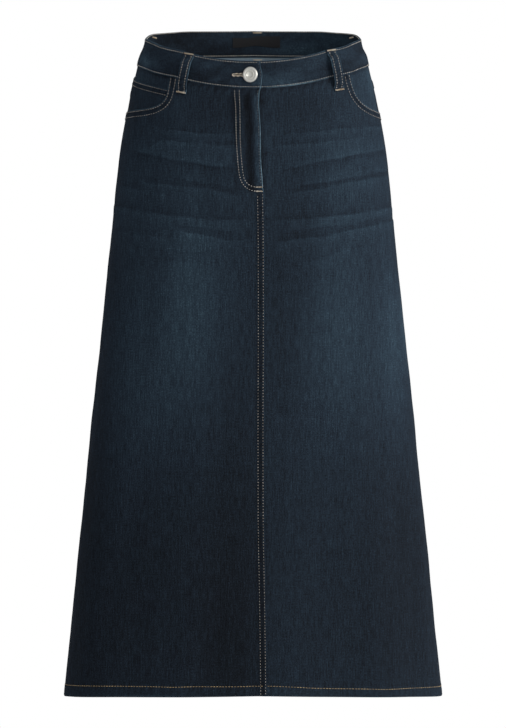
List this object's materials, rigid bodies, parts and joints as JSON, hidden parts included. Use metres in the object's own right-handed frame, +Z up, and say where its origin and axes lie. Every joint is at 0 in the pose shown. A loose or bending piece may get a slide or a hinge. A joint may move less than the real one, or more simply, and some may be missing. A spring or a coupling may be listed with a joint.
{
  "type": "denim skirt",
  "caption": "Long flared denim skirt with jeans-style waistband, fly, scooped pockets and belt loops, filled out and open at waist and hem.",
  "frame": {"origin": "middle of the waist opening, level with its side corners to 3 mm, where the wearer's waist holds the skirt", "axes": "+Z up out of the waist, -Y towards the front, +X towards the wearer's left"},
  "size_m": [0.522, 0.2607, 0.9236],
  "materials": {
    "denim": "indigo stretch twill, washed and brushed over the thighs, soft matt",
    "button_metal": "satin nickel-plated shank button",
    "zip_metal": "brass chain on navy tape",
    "label_cloth": "blank black woven label",
    "thread": "beige topstitching thread"
  },
  "bodies": {
    "root": {"front_right": "denim", "front_left": "denim", "back_right": "denim", "back_left": "denim", "back_yoke_right": "denim", "back_yoke_left": "denim", "pocket_facing_right": "denim", "pocket_facing_left": "denim", "coin_pocket": "denim", "waistband_front_right": "denim", "waistband_front_left": "denim", "waistband_back": "denim", "fly_shield": "denim", "zip": "zip_metal", "button": "button_metal", "label": "label_cloth", "belt_loop_front_right": "denim", "belt_loop_front_left": "denim", "belt_loop_side_left": "denim", "belt_loop_centre_back": "denim", "belt_loop_side_right": "denim"}
  },
  "joints": []
}
